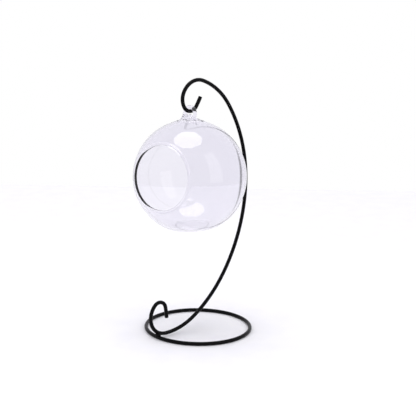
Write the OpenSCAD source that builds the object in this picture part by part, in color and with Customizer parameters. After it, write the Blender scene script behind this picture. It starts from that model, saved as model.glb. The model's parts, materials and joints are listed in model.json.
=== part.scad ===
// Clear glass globe that hangs by its fused loop from a bent-rod table stand.
// Millimetres. The origin is the middle of the base ring on the table, +Z is up, and the
// stand's one bent rod lies in the XZ plane, with its foot on the ring at -X.

/* [Rod] */
// Diameter of the round steel rod, powder coat included
rod_d = 3.4; // [3:0.1:4]
// Width of the narrow edge broken round each cut end of the rod
end_chamfer = 0.4; // [0.2:0.1:0.8]

/* [Base ring] */
// Diameter of the ring, measured through the middle of its rod
ring_d = 95; // [85:1:105]

/* [Foot weld] */
// Space that the weld bridges between the ring and the stem
weld_gap = 0.5; // [0.2:0.1:0.8]
// Diameter of the bead of weld
weld_d = 5; // [4.4:0.1:5.6]

/* [Stem, from the weld down to its lowest point and up the bow] */
// How steeply the stem comes down over the ring
foot_dip = 25; // [20:1:28]
// Radius of the bend that levels the stem inside the ring
toe_r = 20; // [16:1:24]
// Radius of the shallow arc that rises over the ring
low_r = 60; // [55:1:65]
// Angle of the shallow arc
low_bend = 32.5; // [30:0.5:35]
// Radius of the run below the bow
rise_r = 120; // [110:1:130]
// Angle of the run below the bow
rise_bend = 22; // [20:0.5:24]
// Radius of the bow's lower half
bow_low_r = 150; // [140:1:160]
// Angle of the bow's lower half
bow_low_bend = 32.5; // [30:0.5:35]
// Radius of the bow's upper half
bow_top_r = 125; // [118:1:132]
// Angle of the bow's upper half
bow_top_bend = 39; // [37:0.5:41]
// Radius of the shoulder that leads to the crown
shoulder_r = 60; // [55:1:65]
// Angle of the shoulder
shoulder_bend = 36.5; // [34:0.5:39]
// Radius of the crown, the turn at the top
crown_r = 18.1; // [17:0.1:19]
// Angle of the crown
crown_bend = 83; // [80:0.5:86]
// Radius of the drop, where the crown tightens on its way down to the hook
drop_r = 13; // [12:0.5:14]
// Angle of the drop
drop_bend = 57; // [54:0.5:60]
// Radius of the hook that carries the glass
hook_r = 8; // [7.6:0.1:8.8]
// Angle of the hook
hook_bend = 115; // [110:0.5:120]
// Radius of the slight bend left in the tip after the hook
tip_r = 120; // [100:5:150]
// Angle of the tip
tip_bend = 4.5; // [3:0.5:6]

/* [Stem, from the weld up the curl at its tail] */
// Radius of the heel outside the ring
heel_r = 16; // [14:0.5:18]
// Angle of the heel
heel_bend = 110; // [104:1:114]
// Radius of the curl
curl_r = 7; // [6:0.5:8]
// Angle of the curl
curl_bend = 125; // [118:1:134]
// Radius of the slight bend left in the tail after the curl
tail_r = 140; // [120:5:170]
// Angle of the tail
tail_bend = 4; // [3:0.5:6]

/* [Glass globe] */
// Outer diameter of the globe
globe_d = 100; // [92:1:104]
// Thickness of the blown wall
glass_wall = 1.5; // [1.3:0.1:2.2]
// Height of the globe's middle above its flat bottom
bottom_h = 45.5; // [44:0.5:47]
// Radius of the knuckle between the globe's side and its flat bottom
knuckle_r = 20; // [16:1:24]
// Angle from the top at which the globe's shoulder leaves the round as a straight cone
peak_angle = 21.6; // [18:0.2:24]

/* [Mouth] */
// Clear diameter of the round mouth
mouth_clear_d = 54.8; // [48:0.4:60]
// Diameter of the fire-polished bead round the mouth
lip_d = 2.3; // [2:0.1:3]
// Angle of the mouth round the globe, from the plane of the stem
mouth_turn = 13; // [0:1:25]
// Angle of the mouth above level
mouth_rise = 5.5; // [0:0.5:10]

/* [Hanging loop] */
// Diameter of the hole in the loop
loop_hole_d = 7.2; // [6.8:0.1:8.4]
// Diameter of the glass rod that the loop is curled from
loop_rod_d = 3.3; // [3:0.1:3.8]
// Height of the loop's hole above the round of the globe
loop_lift = 2; // [1.8:0.1:2.6]
// How far the melted peak fills the bottom of the loop's hole
peak_fill = 0.6; // [0.3:0.1:0.9]
// Thickness of the glass at the peak
peak_wall = 4; // [3.7:0.1:4.6]
// Diameter of the loop's root where it spreads into the shoulder
root_d = 6.2; // [5:0.1:7]
// How far the root spreads outwards from the loop's side
root_spread = 1.4; // [0.8:0.1:2]
// Space between the loop and the rod that it hangs on
seat_gap = 0.15; // [0.1:0.05:0.3]

/* [Hidden] */

rod_sides = 36;
turn_steps = 144;
globe_steps = 72;
loop_steps = 48;

steel = [0.07, 0.07, 0.08];
weld_steel = [0.12, 0.12, 0.13];
clear_glass = [0.90, 0.89, 0.96, 0.45];

// A place along the rod is [x, z, heading]; headings are degrees from +X towards +Z.
function after_bend(s, r, bend) = [
    s[0] + sign(bend) * r * (sin(s[2] + bend) - sin(s[2])),
    s[1] - sign(bend) * r * (cos(s[2] + bend) - cos(s[2])),
    s[2] + bend
];
function places(s, bends, i = 0) = i == len(bends)
    ? [s]
    : concat([s], places(after_bend(s, bends[i][0], bends[i][1]), bends, i + 1));

// The stem starts over the ring, one rod and the weld's gap away from the middle of the ring's rod.
ring_r = ring_d / 2;
ring_z = rod_d / 2;
weld_reach = rod_d + weld_gap;
foot = [
    -ring_r + weld_reach * sin(foot_dip),
    ring_z + weld_reach * cos(foot_dip),
    -foot_dip
];
tail_start = [foot[0], foot[1], 180 - foot_dip];

// The rod's bending schedule, as [radius, angle] pairs; a right-hand bend is negative.
bow_bends = [
    [toe_r, foot_dip],
    [low_r, low_bend],
    [rise_r, rise_bend],
    [bow_low_r, bow_low_bend],
    [bow_top_r, bow_top_bend],
    [shoulder_r, shoulder_bend],
    [crown_r, crown_bend],
    [drop_r, drop_bend],
    [hook_r, hook_bend],
    [tip_r, tip_bend]
];
tail_bends = [
    [heel_r, -heel_bend],
    [curl_r, -curl_bend],
    [tail_r, -tail_bend]
];
bow_places = places(foot, bow_bends);
tail_places = places(tail_start, tail_bends);

// The hook's lowest point, where the rod runs level again and the glass hangs. Only the tip
// comes after the hook.
hook_start = bow_places[len(bow_bends) - 2];
hook_x = hook_start[0] - hook_r * sin(hook_start[2]);
hook_z = hook_start[1] + hook_r * cos(hook_start[2]) - hook_r;

// The loop's hole rests on top of the rod, and the globe hangs below it.
globe_r = globe_d / 2;
loop_r = (loop_hole_d + loop_rod_d) / 2;
loop_up = globe_r + loop_lift + loop_hole_d / 2;
loop_drop = loop_hole_d / 2 - rod_d / 2 - seat_gap;
globe_drop = loop_up + loop_drop;

// The shoulder's peak ends a little way up in the loop's hole.
peak_h = globe_r + loop_lift + peak_fill;

// The mouth is a circle on the middle of the wall, and its edge is cut square to the wall.
wall_mid_r = globe_r - glass_wall / 2;
mouth_r = (mouth_clear_d + lip_d) / 2;
mouth_half = asin(mouth_r / wall_mid_r);
mouth_reach = wall_mid_r * cos(mouth_half);

// Glass missing at the mouth moves the weight away from it, and the globe swings round the rod
// until the weight is under the hook: by volumes of the wall that is left and of the lip.
wall_v = 2 * PI * pow(wall_mid_r, 2) * glass_wall * (1 + cos(mouth_half));
wall_shift = wall_mid_r * (1 - cos(mouth_half)) / 2;
lip_v = PI * pow(lip_d / 2, 2) * 2 * PI * mouth_r;
weight_back = (wall_v * wall_shift - lip_v * mouth_reach) / (wall_v + lip_v);
weight_side = weight_back * cos(mouth_rise) * sin(mouth_turn);
hang_lean = -atan(weight_side / globe_drop);

// Past what they cut by a plain margin, so that no two faces lie together.
margin = 1;

// Moves by whole millimetres, then by thousandths, then by the rest, which keeps all its digits
// that way: curves that run on into each other meet exactly.
module at_place(place) {
    whole = [for (c = place) floor(c)];
    part = [for (c = place) floor(1000 * (c - floor(c))) / 1000];
    translate(whole)
        translate(part)
            translate(place - whole - part)
                children();
}

module bent_rod(s, r, bend) {
    side = sign(bend);
    at_place([s[0] - side * r * sin(s[2]), 0, s[1] + side * r * cos(s[2])])
        rotate([90, 0, 0])
            rotate_extrude(angle = abs(bend), start = s[2] - side * 90 + min(bend, 0), $fn = turn_steps)
                translate([r, 0])
                    circle(d = rod_d, $fn = rod_sides);
}

// What is taken off round the cut end of a rod: its sharp edge, at 45 degrees.
module sharp_edge(s) {
    at_place([s[0], 0, s[1]])
        rotate([0, 90 - s[2], 0])
            rotate_extrude($fn = rod_sides)
                polygon([
                    [rod_d / 2 - end_chamfer - margin, margin],
                    [rod_d / 2 + margin, -end_chamfer - margin],
                    [rod_d / 2 + margin, margin]
                ]);
}

module rod_run(points, bends) {
    for (i = [0 : len(bends) - 1])
        bent_rod(points[i], bends[i][0], bends[i][1]);
}

// A ball inside the rod where each bend runs on into the next, so that the two always join.
module bend_joins(points) {
    for (s = points)
        at_place([s[0], 0, s[1]])
            sphere(d = rod_d / 2, $fn = rod_sides);
}

module ring_rod() {
    translate([0, 0, ring_z])
        rotate_extrude($fn = turn_steps)
            translate([ring_r, 0])
                circle(d = rod_d, $fn = rod_sides);
}

// The blown outline, right of the axis: round, with a knuckle down to the flat bottom.
module blown_outline(r, knuckle, low) {
    flat_r = sqrt(pow(r - knuckle, 2) - pow(low - knuckle, 2));
    turn = acos((low - knuckle) / (r - knuckle));
    side = [r * sin(turn), -r * cos(turn)];
    intersection() {
        circle(r = r, $fn = globe_steps);
        translate([0, side[1]])
            square([r + margin, 2 * r]);
    }
    intersection() {
        at_place([flat_r, knuckle - low])
            circle(r = knuckle, $fn = globe_steps);
        polygon([
            [flat_r, -low - margin],
            [r + margin, -low - margin],
            [r + margin, side[1]],
            [flat_r, side[1]]
        ]);
    }
    translate([0, -low])
        square([flat_r, low + side[1]]);
}

// The shoulder: a straight cone that leaves the round at peak_angle and is cut off level at the top.
// Its foot lies a thousandth of a millimetre inside the round, so that the two always cross.
module shoulder_outline(r, top) {
    peak = r / cos(peak_angle);
    foot_r = r - margin / 1000;
    polygon([
        [0, r * cos(peak_angle) - margin],
        [(r - margin) * sin(peak_angle), r * cos(peak_angle) - margin],
        [foot_r * sin(peak_angle), foot_r * cos(peak_angle)],
        [(peak - top) / tan(peak_angle), top],
        [0, top]
    ]);
}

// Puts the mouth's own axis, here +Z, at its place on the globe.
module at_mouth() {
    rotate([0, 0, 180 + mouth_turn])
        rotate([0, 90 - mouth_rise, 0])
            children();
}

// A cone from the globe's middle, so that the cut edge stands square to the wall.
module mouth_cut() {
    h = globe_r + margin;
    cylinder(h = h, r1 = 0, r2 = h * tan(mouth_half), $fn = globe_steps);
}

module mouth_lip() {
    translate([0, 0, mouth_reach])
        rotate_extrude($fn = globe_steps)
            translate([mouth_r, 0])
                circle(d = lip_d, $fn = rod_sides);
}

module hanging_loop() {
    root_h = loop_up - globe_r + glass_wall;
    rotate([0, 0, 180 + mouth_turn]) {
        translate([0, 0, loop_up])
            rotate([0, 90, 0])
                rotate_extrude($fn = loop_steps)
                    translate([loop_r, 0])
                        circle(d = loop_rod_d, $fn = loop_steps);
        // The side where the glass rod was set down spreads into the shoulder.
        translate([0, -loop_r, loop_up])
            rotate([180 - atan(root_spread / root_h), 0, 0])
                cylinder(h = root_h, d1 = loop_rod_d - margin / 10, d2 = root_d, $fn = loop_steps);
    }
}

module base_ring() {
    color(steel)
        ring_rod();
}

module stem() {
    color(steel)
        difference() {
            union() {
                rod_run(bow_places, bow_bends);
                rod_run(tail_places, tail_bends);
                bend_joins([for (i = [0 : len(bow_bends) - 1]) bow_places[i]]);
                bend_joins([for (i = [1 : len(tail_bends) - 1]) tail_places[i]]);
            }
            sharp_edge(bow_places[len(bow_bends)]);
            sharp_edge(tail_places[len(tail_bends)]);
        }
}

module foot_weld() {
    color(weld_steel)
        difference() {
            translate([
                -ring_r + weld_reach / 2 * sin(foot_dip),
                0,
                ring_z + weld_reach / 2 * cos(foot_dip)
            ])
                sphere(d = weld_d, $fn = loop_steps);
            ring_rod();
            bent_rod(foot, toe_r, foot_dip);
            bent_rod(tail_start, heel_r, -heel_bend);
        }
}

module blown_glass() {
    difference() {
        union() {
            rotate_extrude($fn = globe_steps)
                union() {
                    blown_outline(globe_r, knuckle_r, bottom_h);
                    shoulder_outline(globe_r, peak_h);
                }
            hanging_loop();
        }
        rotate_extrude($fn = globe_steps)
            union() {
                blown_outline(globe_r - glass_wall, knuckle_r - glass_wall, bottom_h - glass_wall);
                shoulder_outline(globe_r - glass_wall, peak_h - peak_wall);
            }
        at_mouth()
            mouth_cut();
    }
    at_mouth()
        mouth_lip();
}

module glass_globe() {
    color(clear_glass)
        translate([hook_x, 0, hook_z])
            rotate([hang_lean, 0, 0])
                translate([0, 0, -globe_drop])
                    blown_glass();
}

base_ring();
stem();
foot_weld();
glass_globe();
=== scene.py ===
import json
from math import acos, asin, atan, cos, pi, radians, sin, sqrt

import bmesh
import bpy
import numpy as np
from mathutils import Matrix, Vector


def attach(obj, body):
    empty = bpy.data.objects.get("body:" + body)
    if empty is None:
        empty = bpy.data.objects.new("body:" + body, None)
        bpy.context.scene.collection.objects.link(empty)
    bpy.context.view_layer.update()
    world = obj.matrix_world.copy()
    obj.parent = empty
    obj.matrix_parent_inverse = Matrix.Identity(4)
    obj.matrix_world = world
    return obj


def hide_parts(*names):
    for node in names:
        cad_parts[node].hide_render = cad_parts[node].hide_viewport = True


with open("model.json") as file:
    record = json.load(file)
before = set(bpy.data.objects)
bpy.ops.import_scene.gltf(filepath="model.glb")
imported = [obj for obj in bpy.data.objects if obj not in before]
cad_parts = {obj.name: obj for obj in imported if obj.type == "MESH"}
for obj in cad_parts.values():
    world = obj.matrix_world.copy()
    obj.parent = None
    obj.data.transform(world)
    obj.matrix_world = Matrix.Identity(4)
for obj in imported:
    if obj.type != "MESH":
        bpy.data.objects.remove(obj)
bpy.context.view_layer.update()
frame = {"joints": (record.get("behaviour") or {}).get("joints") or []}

# The camera stands in front and a little above, and turns a little so that plumb lines lean to the
# left, as they do in the photograph. It looks across the plane of the stem's bent rod, which lies
# along X, with the foot of the rod near and to the left.
mm = 0.001
picture_side = 416
focal_pixels = 950.0
stem_turn = radians(41.52)
look_down = radians(11.92)
camera_roll = radians(0.97)
camera_right, camera_back, camera_up = 7.3 * mm, 830.6 * mm, 287.8 * mm


def in_row(right, away, up):
    """A place given as right, away and up from the photographer, in the row's own axes."""
    return Vector((
        right * cos(stem_turn) + away * sin(stem_turn),
        away * cos(stem_turn) - right * sin(stem_turn),
        up,
    ))


view_forward = in_row(0, cos(look_down), -sin(look_down))
level_right = in_row(1, 0, 0)
level_up = level_right.cross(view_forward)
view_right = level_right * cos(camera_roll) + level_up * sin(camera_roll)
view_up = view_right.cross(view_forward)

camera_data = bpy.data.cameras.new("studio_camera")
camera_data.sensor_width = 36.0
camera_data.lens = focal_pixels / picture_side * camera_data.sensor_width
camera_data.clip_start, camera_data.clip_end = 0.05, 60.0
camera = bpy.data.objects.new("studio_camera", camera_data)
turned = Matrix((view_right, view_up, -view_forward)).transposed().to_4x4()
camera.matrix_world = Matrix.Translation(in_row(camera_right, -camera_back, camera_up)) @ turned
bpy.context.scene.collection.objects.link(camera)
bpy.context.scene.camera = camera
bpy.context.scene.view_settings.view_transform = "Standard"


# The studio is a white table that ends at a white backdrop, one eight-sided soft light straight
# above and a tall strip light to the right. The glass shows by its tint and by the two lights that
# it mirrors.
class Level:
    """A number that changes over a surface. Python's operators on it add the Math nodes."""

    def __init__(self, finish, socket):
        self.finish, self.socket = finish, socket

    def maths(self, operation, *terms):
        made = self.finish.node("ShaderNodeMath", {"operation": operation}, dict(enumerate(terms)))
        return Level(self.finish, made.outputs[0])

    def __add__(self, other):
        return self.maths("ADD", self, other)

    def __radd__(self, other):
        return self.maths("ADD", other, self)

    def __sub__(self, other):
        return self.maths("SUBTRACT", self, other)

    def __rsub__(self, other):
        return self.maths("SUBTRACT", other, self)

    def __mul__(self, other):
        return self.maths("MULTIPLY", self, other)

    def __rmul__(self, other):
        return self.maths("MULTIPLY", other, self)

    def between(self, low, high):
        """0 at low and 1 at high, held to that range and eased at both ends."""
        made = self.finish.node(
            "ShaderNodeMapRange",
            {"interpolation_type": "SMOOTHSTEP"},
            {"Value": self, "From Min": low, "From Max": high},
        )
        return Level(self.finish, made.outputs["Result"])


class Finish:
    """The node tree of a material, or of the world."""

    def __init__(self, owner):
        owner.use_nodes = True
        self.owner, self.tree = owner, owner.node_tree
        self.tree.nodes.clear()

    def node(self, kind, settings={}, sockets={}):
        made = self.tree.nodes.new(kind)
        for name, value in settings.items():
            setattr(made, name, value)
        for name, value in sockets.items():
            value = value.socket if isinstance(value, Level) else value
            if isinstance(value, bpy.types.NodeSocket):
                self.tree.links.new(value, made.inputs[name])
            else:
                made.inputs[name].default_value = value
        return made

    def mix(self, share, first, second):
        made = self.node(
            "ShaderNodeMix", {"data_type": "RGBA"}, {"Factor": share, 6: first, 7: second}
        )
        return made.outputs[2]

    def noise(self, scale, detail=2.0, stretch=(1.0, 1.0, 1.0)):
        """Even noise in the object's own axes, with scale in waves to the metre."""
        place = self.node("ShaderNodeTexCoord").outputs["Object"]
        spread = self.node("ShaderNodeMapping", {}, {"Vector": place, "Scale": stretch})
        made = self.node("ShaderNodeTexNoise", {}, {
            "Vector": spread.outputs[0], "Scale": scale, "Detail": detail,
        })
        return Level(self, made.outputs["Fac"])


def stand_in_studio(name, corners, finish):
    """A flat sheet of the studio, which is no part of the object."""
    mesh = bpy.data.meshes.new(name)
    mesh.from_pydata(corners, [], [list(range(len(corners)))])
    mesh.materials.append(finish.owner)
    sheet = bpy.data.objects.new(name, mesh)
    bpy.context.scene.collection.objects.link(sheet)


table_front, table_back, table_side = 0.32, 0.69, 6.0
# The table glows with painted fill light. The glow is faintest within 0.15 m of the middle and
# rises to full past 1.6 m, so the far table stays white and the table near the stand is painted
# darker.
table_glow_low_to, table_glow_full_from = 0.15, 1.6
table = Finish(bpy.data.materials.new("white_table"))
table_grain = table.noise(40.0).between(0.3, 0.7)
table_place = table.node("ShaderNodeTexCoord").outputs["Object"]
table_off = table.node("ShaderNodeVectorMath", {"operation": "LENGTH"}, {0: table_place})
table_painted_glow = Level(table, table_off.outputs["Value"]).between(table_glow_low_to, table_glow_full_from)
table_skin = table.node("ShaderNodeBsdfPrincipled", {}, {
    "Base Color": table.mix(table_grain, (0.80, 0.80, 0.82, 1), (0.82, 0.82, 0.83, 1)),
    "Roughness": 0.9,
    # Painted fill light: the emission rises with distance from the middle of the table.
    "Emission Color": table.mix(table_painted_glow, (0.05, 0.05, 0.05, 1), (0.14, 0.14, 0.14, 1)),
    "Emission Strength": 1.0,
})
table.node("ShaderNodeOutputMaterial", {}, {"Surface": table_skin.outputs[0]})
stand_in_studio("table", [
    in_row(-table_side, -table_front, 0), in_row(table_side, -table_front, 0),
    in_row(table_side, table_back, 0), in_row(-table_side, table_back, 0),
], table)

# Straight above the globe.
soft_light_up, soft_light_r, soft_light_sides = 1.25, 0.46, 8
soft_light = Finish(bpy.data.materials.new("soft_light_cloth"))
soft_light_glow = soft_light.node(
    "ShaderNodeEmission", {}, {"Color": (1.0, 0.985, 1.0, 1), "Strength": 3.5}
)
soft_light.node("ShaderNodeOutputMaterial", {}, {"Surface": soft_light_glow.outputs[0]})
soft_light_middle = in_row(-0.09, -0.04, soft_light_up)
stand_in_studio("soft_light", [
    soft_light_middle + Vector((soft_light_r * cos(t), soft_light_r * sin(t), 0))
    for t in [-(i + 0.5) * 2 * pi / soft_light_sides for i in range(soft_light_sides)]
], soft_light)

# It stands to the right and forward, from a little under the globe's height to well above it.
strip_light = Finish(bpy.data.materials.new("strip_light_cloth"))
strip_light_glow = strip_light.node(
    "ShaderNodeEmission", {}, {"Color": (1.0, 1.0, 1.0, 1), "Strength": 1.6}
)
strip_light.node("ShaderNodeOutputMaterial", {}, {"Surface": strip_light_glow.outputs[0]})
strip_turn, strip_off, strip_half_w = radians(55), 1.2, 0.30
strip_low, strip_high = 0.06, 1.60
strip_way = in_row(sin(strip_turn), -cos(strip_turn), 0.0)
strip_along = Vector((0, 0, 1)).cross(strip_way)
strip_ends = [strip_way * strip_off + strip_along * side * strip_half_w for side in (-1, 1)]
stand_in_studio("strip_light", [
    strip_ends[0] + Vector((0, 0, strip_low)), strip_ends[1] + Vector((0, 0, strip_low)),
    strip_ends[1] + Vector((0, 0, strip_high)), strip_ends[0] + Vector((0, 0, strip_high)),
], strip_light)

# The room is white all round, and a little darker and cooler through the glass than beside it.
room = Finish(bpy.data.worlds.new("studio_room"))
bpy.context.scene.world = room.owner
looked_at = room.node("ShaderNodeLightPath").outputs["Is Camera Ray"]
room_colour = room.mix(looked_at, (0.94, 0.93, 0.985, 1), (1.0, 1.0, 1.0, 1))
room_light = room.node("ShaderNodeBackground", {}, {"Color": room_colour, "Strength": 1.0})
room.node("ShaderNodeOutputWorld", {}, {"Surface": room_light.outputs[0]})


# The stand is round steel rod under a black powder coat: a closed ring that lies flat, and one long
# rod that is bent to the same schedule as the solid: a curl, a low arc over the ring, the tall bow,
# the crown and the hook. Its two cropped ends have the edge broken and rounded by the coat.
rod_r = 1.7 * mm
rod_sides = 36
ring_r = 47.5 * mm
weld_gap = 0.5 * mm
foot_dip = 25.0
bow_bends = [
    (20, foot_dip), (60, 32.5), (120, 22), (150, 32.5), (125, 39), (60, 36.5), (18.1, 83),
    (13, 57), (8, 115), (120, 4.5),
]
tail_bends = [(16, -110), (7, -125), (140, -4)]
longest_step = 1.3 * mm
end_edge = 0.45 * mm
end_steps = 6

coat = Finish(bpy.data.materials.new("black_powder_coat"))
coat_mottle = coat.noise(60.0, 3.0)
coat_peel = coat.noise(1300.0, 1.0)
coat_grit = coat.noise(5200.0, 2.0)
coat_bump = coat.node("ShaderNodeBump", {}, {
    "Strength": 0.35,
    "Distance": 0.03 * mm,
    "Height": coat_peel + coat_grit * 0.35,
})
coat_skin = coat.node("ShaderNodeBsdfPrincipled", {}, {
    "Base Color": coat.mix(
        coat_mottle.between(0.25, 0.75), (0.0006, 0.0006, 0.0009, 1), (0.0017, 0.0016, 0.0021, 1)
    ),
    "Roughness": 0.15 + coat_mottle * 0.10 + coat_grit * 0.05,
    "Specular IOR Level": 0.08,
    "Normal": coat_bump.outputs[0],
})
coat.node("ShaderNodeOutputMaterial", {}, {"Surface": coat_skin.outputs[0]})


def bent_line(start, bends):
    """Points along a rod that starts at (x, z, heading), with one bend after another."""
    x, z, heading_now = start
    line = [(x, z)]
    for radius, angle in bends:
        radius, side, turn = radius * mm, (1 if angle > 0 else -1), radians(abs(angle))
        middle = (x - side * radius * sin(heading_now), z + side * radius * cos(heading_now))
        steps = max(int(radius * turn / longest_step) + 1, int(abs(angle) / 4) + 1)
        for i in range(1, steps + 1):
            now = heading_now + side * turn * i / steps
            x = middle[0] + side * radius * sin(now)
            z = middle[1] - side * radius * cos(now)
            line.append((x, z))
        heading_now += side * turn
    return line


rod_tree = bpy.data.node_groups.new("Rod along a line", "GeometryNodeTree")
for name, kind in (
    ("Line", "NodeSocketGeometry"), ("Radius", "NodeSocketFloat"), ("Sides", "NodeSocketInt"),
    ("Finish", "NodeSocketMaterial"),
):
    rod_tree.interface.new_socket(name, in_out="INPUT", socket_type=kind)
rod_tree.interface.new_socket("Rod", in_out="OUTPUT", socket_type="NodeSocketGeometry")
rod_nodes, rod_links = rod_tree.nodes, rod_tree.links
asked = rod_nodes.new("NodeGroupInput")
given = rod_nodes.new("NodeGroupOutput")
as_curve = rod_nodes.new("GeometryNodeMeshToCurve")
thickness = rod_nodes.new("GeometryNodeInputNamedAttribute")
thickness.data_type = "FLOAT"
thickness.inputs["Name"].default_value = "thickness"
thinned = rod_nodes.new("GeometryNodeSetCurveRadius")
section = rod_nodes.new("GeometryNodeCurvePrimitiveCircle")
swept = rod_nodes.new("GeometryNodeCurveToMesh")
swept.inputs["Fill Caps"].default_value = True
smooth = rod_nodes.new("GeometryNodeSetShadeSmooth")
real = rod_nodes.new("GeometryNodeRealizeInstances")
finished = rod_nodes.new("GeometryNodeSetMaterial")
for source, target in (
    (asked.outputs["Line"], as_curve.inputs[0]),
    (as_curve.outputs[0], thinned.inputs["Curve"]),
    (thickness.outputs["Attribute"], thinned.inputs["Radius"]),
    (asked.outputs["Sides"], section.inputs["Resolution"]),
    (asked.outputs["Radius"], section.inputs["Radius"]),
    (thinned.outputs[0], swept.inputs["Curve"]),
    (section.outputs[0], swept.inputs["Profile Curve"]),
    (swept.outputs[0], smooth.inputs[0]),
    (smooth.outputs[0], real.inputs[0]),
    (real.outputs[0], finished.inputs["Geometry"]),
    (asked.outputs["Finish"], finished.inputs["Material"]),
    (finished.outputs[0], given.inputs[0]),
):
    rod_links.new(source, target)


def make_rod(name, points, thicknesses, closed):
    """Sweeps the rod's round section along the points, and gives the plain mesh object."""
    line = bpy.data.meshes.new(name)
    count = len(points)
    edges = count if closed else count - 1
    line.from_pydata(points, [(i, (i + 1) % count) for i in range(edges)], [])
    line.attributes.new("thickness", "FLOAT", "POINT").data.foreach_set("value", thicknesses)
    rod = bpy.data.objects.new(name, line)
    bpy.context.scene.collection.objects.link(rod)
    sweep = rod.modifiers.new("sweep", "NODES")
    sweep.node_group = rod_tree
    wanted = {"Radius": rod_r, "Sides": rod_sides, "Finish": coat.owner}
    for item in rod_tree.interface.items_tree:
        if item.in_out == "INPUT" and item.name in wanted:
            sweep[item.identifier] = wanted[item.name]
    bpy.context.view_layer.update()
    done = rod.evaluated_get(bpy.context.evaluated_depsgraph_get())
    mesh = bpy.data.meshes.new_from_object(done)
    rod.modifiers.remove(sweep)
    rod.data = mesh
    mesh.name = name
    return rod


weld_reach = 2 * rod_r + weld_gap
foot = (
    -ring_r + weld_reach * sin(radians(foot_dip)),
    rod_r + weld_reach * cos(radians(foot_dip)),
)
bow_line = bent_line((*foot, radians(-foot_dip)), bow_bends)
tail_line = bent_line((*foot, radians(180 - foot_dip)), tail_bends)
stem_line = [Vector((x, 0, z)) for x, z in tail_line[:0:-1] + bow_line]


def with_round_ends(line):
    """Ends a line in the small steps that round the rod's edge, as (points, thicknesses)."""
    points, thick = list(line), [1.0] * len(line)
    for end in (0, -1):
        inner = points[1] if end == 0 else points[-2]
        tip = points[end]
        back = (inner - tip).normalized()
        points[end] = tip + back * end_edge
        added = []
        for i in range(1, end_steps + 1):
            turn = pi / 2 * i / end_steps
            added.append((
                tip + back * end_edge * (1 - sin(turn)),
                1 - end_edge / rod_r * (1 - cos(turn)),
            ))
        added.append((tip - back * 0.004 * mm, 1 - end_edge / rod_r * 1.25))
        for place, share in added:
            if end == 0:
                points.insert(0, place)
                thick.insert(0, share)
            else:
                points.append(place)
                thick.append(share)
    return points, thick


stem_points, stem_thick = with_round_ends(stem_line)
stem = make_rod("bent_stem", stem_points, stem_thick, closed=False)
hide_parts("stem")
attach(stem, "stand")

ring_steps = 216
ring = make_rod(
    "table_ring",
    [
        Vector((ring_r * cos(t), ring_r * sin(t), rod_r))
        for t in [2 * pi * i / ring_steps for i in range(ring_steps)]
    ],
    [1.0] * ring_steps,
    closed=True,
)
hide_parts("base_ring")
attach(ring, "stand")


# The weld that holds the rod on the ring: a small bead run into the gap between the two, with the
# ripples that the arc leaves, under the same coat.
weld_middle = Vector((
    -ring_r + weld_reach / 2 * sin(radians(foot_dip)),
    0,
    rod_r + weld_reach / 2 * cos(radians(foot_dip)),
))
weld_half = Vector((2.5, 2.75, 2.15)) * mm
ripple_pitch, ripple_height = 0.85 * mm, 0.07 * mm

bead = bmesh.new()
bmesh.ops.create_icosphere(bead, subdivisions=5, radius=1.0)
for vert in bead.verts:
    way = vert.co.normalized()
    lump = 0.035 * sin(5.1 * way.x + 1.3) * cos(4.3 * way.z + 0.4) + 0.03 * sin(7.7 * way.y + 2.0)
    place = Vector([c * h * (1 + lump) for c, h in zip(way, weld_half)])
    ripple = sin(2 * pi * (place.y + 0.18 * abs(place.x)) / ripple_pitch)
    place += way * ripple_height * ripple * (1 - way.y ** 4)
    vert.co = weld_middle + place
for face in bead.faces:
    face.smooth = True
bead_mesh = bpy.data.meshes.new("weld_bead")
bead.to_mesh(bead_mesh)
bead.free()
bead_mesh.materials.append(coat.owner)
weld_bead = bpy.data.objects.new("weld_bead", bead_mesh)
bpy.context.scene.collection.objects.link(weld_bead)
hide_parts("foot_weld")
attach(weld_bead, "stand")


# The globe is blown glass, thin-walled, with a flat bottom and a shallow cone of a shoulder. The
# mouth is cut out of its side and melted to a round bead. A solid loop is fused on top, and all of
# it is one skin of glass, so that light passes through it as through the real piece.
globe_r, wall = 50.0, 1.5
bottom_h, knuckle_r = 45.5, 20.0
peak_angle = radians(21.6)
mouth_clear_r, lip_r = 27.4, 1.15
mouth_turn, mouth_rise = radians(13), radians(5.5)
loop_hole_r, loop_rod_r, loop_lift = 3.6, 1.65, 2.0
peak_fill, peak_wall = 0.6, 4.0
root_r, root_spread = 3.1, 1.4
seat_gap = 0.15
hang_lean = radians(-0.8435)

wall_mid = globe_r - wall / 2
mouth_r = mouth_clear_r + lip_r
mouth_half = asin(mouth_r / wall_mid)
loop_r = loop_hole_r + loop_rod_r
loop_up = globe_r + loop_lift + loop_hole_r
globe_drop = loop_up + loop_hole_r - rod_r / mm - seat_gap
peak_h = globe_r + loop_lift + peak_fill
peak_floor = peak_h - peak_wall


def melted(a, b, k):
    """The lower of two distances, run together over a width k."""
    h = np.clip(0.5 + 0.5 * (b - a) / k, 0, 1)
    return b * (1 - h) + a * h - k * h * (1 - h)


def blown_reach(ways, radius, knuckle, low, top=None):
    """How far the blown outline reaches from the globe's middle in each of many directions."""
    flat_r = sqrt((radius - knuckle) ** 2 - (low - knuckle) ** 2)
    polar = np.arccos(np.clip(ways[:, 2], -1, 1))
    side = pi - acos((low - knuckle) / (radius - knuckle))
    flat = pi - atan(flat_r / low)
    across, up = np.sin(polar), np.cos(polar)
    toward = across * flat_r - up * (low - knuckle)
    past = np.maximum(toward ** 2 - flat_r ** 2 - (low - knuckle) ** 2 + knuckle ** 2, 0)
    reach = np.full(len(ways), radius)
    reach = np.where(polar > side, toward + np.sqrt(past), reach)
    reach = np.where(polar > flat, low / np.maximum(-up, 1e-6), reach)
    reach = np.where(polar < peak_angle, radius / np.cos(peak_angle - polar), reach)
    if top:
        reach = melted(reach, top / np.maximum(up, 1e-6), 0.3)
    return reach


# The slow unevenness of the outer and the inner skin, as (depth, phase).
blown_out, blown_in = (0.05, 0.7), (0.09, 2.9)


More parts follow.
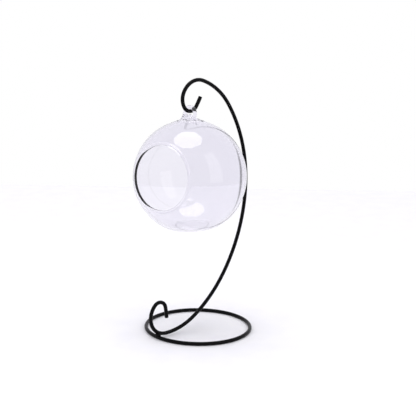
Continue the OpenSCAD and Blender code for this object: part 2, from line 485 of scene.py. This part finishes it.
def hand_blown(ways, depth, phase):
    """The slow unevenness of a blown wall, from 0 to depth."""
    x, y, z = ways.T
    waves = (
        np.sin(3.1 * x + 2.3 * z + phase) + np.sin(4.7 * y - 1.9 * x + 2 * phase)
        + np.sin(5.3 * z + 2.9 * y + 3 * phase) + np.sin(7.1 * x - 4.1 * z + 5 * phase)
    )
    return depth * (waves + 4) / 8


mouth_way = np.array([
    -cos(mouth_rise) * cos(mouth_turn), -cos(mouth_rise) * sin(mouth_turn), sin(mouth_rise),
])
mouth_side = np.cross([0, 0, 1], mouth_way)
mouth_side /= np.linalg.norm(mouth_side)
mouth_up = np.cross(mouth_way, mouth_side)

around_steps = 288
wall_steps = 136
lip_steps = 18
lip_blend = 2.0
around = 2 * pi * np.arange(around_steps) / around_steps


def ring_ways(off_mouth):
    """Directions on a cone about the mouth's axis."""
    return (
        cos(off_mouth) * mouth_way[None]
        + sin(off_mouth) * np.cos(around)[:, None] * mouth_side
        + sin(off_mouth) * np.sin(around)[:, None] * mouth_up
    )


def outer_ring(off_mouth, thicker=0.0):
    ways = ring_ways(off_mouth)
    reach = blown_reach(ways, globe_r, knuckle_r, bottom_h) - hand_blown(ways, *blown_out)
    return ways * (reach + thicker)[:, None]


def inner_ring(off_mouth, thicker=0.0):
    ways = ring_ways(off_mouth)
    reach = blown_reach(ways, globe_r - wall, knuckle_r - wall, bottom_h - wall, peak_floor)
    return ways * (reach + hand_blown(ways, *blown_in) - thicker)[:, None]


# Rings of points run from the far pole outside, over the lip, to the far pole inside.
lip_end = mouth_half + lip_blend / wall_mid
rings = []
for i in range(1, wall_steps + 1):
    rings.append(outer_ring(pi + (lip_end - pi) * i / wall_steps))
blend_steps = 5
for i in range(1, blend_steps):
    share = 1 - i / blend_steps
    swell = (lip_r - wall / 2) * (1 + cos(pi * share)) / 2
    rings.append(outer_ring(mouth_half + lip_blend * share / wall_mid, swell))
lip_wobble = 1 + 0.03 * np.sin(2 * around + 0.6) + 0.02 * np.sin(5 * around + 2.1)
ways_at_lip = ring_ways(mouth_half)
across_lip = (ring_ways(mouth_half + 0.001) - ring_ways(mouth_half - 0.001)) / 0.002
for i in range(lip_steps + 1):
    turn = pi / 2 + pi * i / lip_steps
    bead_r = (lip_r * lip_wobble)[:, None]
    ease = sin(pi * i / lip_steps)
    bead_r = bead_r * ease + lip_r * (1 - ease)
    thin = hand_blown(ways_at_lip, *blown_out) * (1 - i / lip_steps)
    thin = thin - hand_blown(ways_at_lip, *blown_in) * (i / lip_steps)
    rings.append(
        ways_at_lip * (wall_mid - thin)[:, None]
        + ways_at_lip * bead_r * sin(turn) + across_lip * bead_r * cos(turn)
    )
for i in range(blend_steps - 1, 0, -1):
    share = 1 - i / blend_steps
    swell = (lip_r - wall / 2) * (1 + cos(pi * share)) / 2
    rings.append(inner_ring(mouth_half + lip_blend * share / wall_mid, swell))
for i in range(wall_steps):
    rings.append(inner_ring(lip_end + (pi - lip_end) * i / wall_steps))
far_way = -mouth_way[None]
outer_pole = far_way * (
    blown_reach(far_way, globe_r, knuckle_r, bottom_h) - hand_blown(far_way, *blown_out)
)[:, None]
inner_pole = far_way * (
    blown_reach(far_way, globe_r - wall, knuckle_r - wall, bottom_h - wall, peak_floor)
    + hand_blown(far_way, *blown_in)
)[:, None]
shell_points = np.concatenate([outer_pole, *rings, inner_pole])
shell_faces = []
last = len(shell_points) - 1
for j in range(around_steps):
    k = (j + 1) % around_steps
    shell_faces.append((0, 1 + j, 1 + k))
    for i in range(len(rings) - 1):
        a, b = 1 + i * around_steps, 1 + (i + 1) * around_steps
        shell_faces.append((a + j, b + j, b + k, a + k))
    a = 1 + (len(rings) - 1) * around_steps
    shell_faces.append((a + j, last, a + k))

# The loop, in the globe's axes: its hole looks the way the mouth looks.
hole_way = np.array([-cos(mouth_turn), -sin(mouth_turn), 0.0])
loop_side = np.array([sin(mouth_turn), -cos(mouth_turn), 0.0])
straight_up = np.array([0.0, 0.0, 1.0])
loop_middle = np.array([0.0, 0.0, loop_up])
loop_steps, loop_sides = 96, 36
loop_points, loop_faces = [], []
for i in range(loop_steps):
    t = 2 * pi * i / loop_steps
    out = loop_side * cos(t) + straight_up * sin(t)
    for j in range(loop_sides):
        s = 2 * pi * j / loop_sides
        loop_points.append(
            loop_middle + out * (loop_r + loop_rod_r * cos(s)) + hole_way * loop_rod_r * sin(s)
        )
        a, b = i * loop_sides, (i + 1) % loop_steps * loop_sides
        k = (j + 1) % loop_sides
        loop_faces.append((a + j, b + j, b + k, a + k))


def glass_object(name, points, faces):
    mesh = bpy.data.meshes.new(name)
    mesh.from_pydata([tuple(p) for p in points], [], faces)
    made = bpy.data.objects.new(name, mesh)
    bpy.context.scene.collection.objects.link(made)
    checked = bmesh.new()
    checked.from_mesh(mesh)
    if checked.calc_volume(signed=True) < 0:
        bmesh.ops.reverse_faces(checked, faces=checked.faces)
    checked.to_mesh(mesh)
    checked.free()
    return made


globe = glass_object("blown_globe", shell_points, shell_faces)
loop = glass_object("loop", loop_points, loop_faces)
fuse = globe.modifiers.new("fuse", "BOOLEAN")
fuse.operation, fuse.solver, fuse.object = "UNION", "EXACT", loop
bpy.context.view_layer.update()
fused = bpy.data.meshes.new_from_object(
    globe.evaluated_get(bpy.context.evaluated_depsgraph_get())
)
globe.modifiers.remove(fuse)
globe.data = fused
bpy.data.objects.remove(loop)

root_h = loop_up - globe_r + wall
root_way = np.array([0.0, 0.0, -1.0]) * root_h - loop_side * root_spread
root_length = np.linalg.norm(root_way)
root_way /= root_length
root_top = loop_middle - loop_side * loop_r

# A drop of melted glass fills the bottom of the loop's hole, clear of the rod.
drop_r = 2.6
drop_middle = np.array([0.0, 0.0, globe_r + loop_lift + 0.2])


def glass_depth(points):
    """How far each point lies outside the fused shoulder and loop, below zero within."""
    axis_r = np.hypot(points[:, 0], points[:, 1])
    reach = np.linalg.norm(points, axis=1)
    polar = np.arctan2(axis_r, points[:, 2])
    cone = axis_r * sin(peak_angle) + points[:, 2] * cos(peak_angle) - globe_r
    ways = points / reach[:, None]
    shoulder = np.where(polar < peak_angle, cone, reach - globe_r) + hand_blown(ways, *blown_out)
    shoulder = -melted(-shoulder, -(points[:, 2] - peak_h), 1.4)
    off = points - loop_middle
    u, v, w = off @ loop_side, off @ hole_way, off[:, 2]
    loop_skin = np.hypot(np.hypot(u, w) - loop_r, v) - loop_rod_r
    from_top = points - root_top
    down = np.clip(from_top @ root_way, 0, root_length)
    root_skin = np.linalg.norm(from_top - down[:, None] * root_way, axis=1) - (
        loop_rod_r - 0.05 + (root_r - loop_rod_r + 0.05) * down / root_length
    )
    at_root = np.clip(0.5 - u / (2 * loop_r), 0, 1)
    run = 0.7 + 1.5 * at_root ** 2
    drop_skin = np.linalg.norm(points - drop_middle, axis=1) - drop_r
    return melted(melted(melted(loop_skin, root_skin, 1.0), drop_skin, 1.2), shoulder, run)


def depth_slope(points):
    step = 1e-3
    return np.stack([
        (glass_depth(points + step * side) - glass_depth(points - step * side)) / (2 * step)
        for side in np.eye(3)
    ], axis=1)


# The skin round the loop is divided finely, then drawn onto the melted form.
melt_r, melt_low, fine_edge = 11.5, 44.0, 0.75


def in_melt(vert):
    p = vert.co
    return p.x * p.x + p.y * p.y < melt_r ** 2 and p.z > melt_low and p.length > wall_mid


skin = bmesh.new()
skin.from_mesh(globe.data)
bmesh.ops.remove_doubles(skin, verts=[v for v in skin.verts if in_melt(v)], dist=0.12)
for _ in range(3):
    near = [f for f in skin.faces if all(in_melt(v) for v in f.verts)]
    bmesh.ops.triangulate(skin, faces=near)
    near = [f for f in skin.faces if all(in_melt(v) for v in f.verts)]
    long_edges = {e for f in near for e in f.edges if e.calc_length() > fine_edge}
    if not long_edges:
        break
    bmesh.ops.subdivide_edges(skin, edges=list(long_edges), cuts=1)
near = [f for f in skin.faces if all(in_melt(v) for v in f.verts)]
bmesh.ops.triangulate(skin, faces=[f for f in skin.faces if len(f.verts) > 4])
bmesh.ops.triangulate(skin, faces=[f for f in near if f.is_valid])
skin.verts.ensure_lookup_table()
skin.verts.index_update()
edge_ends = np.array([[v.index for v in e.verts] for e in skin.edges])
places = np.array([v.co for v in skin.verts])
free = np.array([in_melt(v) for v in skin.verts])
degree = np.bincount(edge_ends.ravel(), minlength=len(places))[:, None]
for _ in range(24):
    total = np.zeros_like(places)
    np.add.at(total, edge_ends[:, 0], places[edge_ends[:, 1]])
    np.add.at(total, edge_ends[:, 1], places[edge_ends[:, 0]])
    moved = places[free]
    pull = (total / degree)[free] - moved
    slope = depth_slope(moved)
    slope /= np.linalg.norm(slope, axis=1)[:, None]
    moved = moved + 0.5 * (pull - slope * np.sum(pull * slope, axis=1)[:, None])
    for _ in range(2):
        slope = depth_slope(moved)
        moved = moved - slope * (glass_depth(moved) / np.sum(slope * slope, axis=1))[:, None]
    places[free] = moved

# It hangs from the hook, a little over to one side, where its weight settles.
hinge = Vector(frame["joints"][0]["pos_m"])
hung = Matrix.Translation(hinge) @ Matrix.Rotation(hang_lean, 4, "X") @ Matrix.Scale(mm, 4)
hung = hung @ Matrix.Translation((0, 0, -globe_drop))
for vert, place in zip(skin.verts, places):
    vert.co = hung @ Vector(place)
for face in skin.faces:
    face.smooth = True
skin.to_mesh(globe.data)
skin.free()

glass = Finish(bpy.data.materials.new("clear_blown_glass"))
glass_tint = glass.noise(22.0, 1.0).between(0.3, 0.7)
glass_skin = glass.node("ShaderNodeBsdfPrincipled", {}, {
    "Base Color": glass.mix(glass_tint, (0.920, 0.914, 0.941, 1), (0.926, 0.920, 0.945, 1)),
    "Roughness": 0.0,
    "IOR": 1.48,
    "Transmission Weight": 1.0,
})
glass_body = glass.node(
    "ShaderNodeVolumeAbsorption", {}, {"Color": (0.68, 0.65, 0.80, 1), "Density": 16.0}
)
glass.node("ShaderNodeOutputMaterial", {}, {
    "Surface": glass_skin.outputs[0], "Volume": glass_body.outputs[0],
})
globe.data.materials.clear()
globe.data.materials.append(glass.owner)
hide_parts("glass_globe")
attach(globe, "globe")
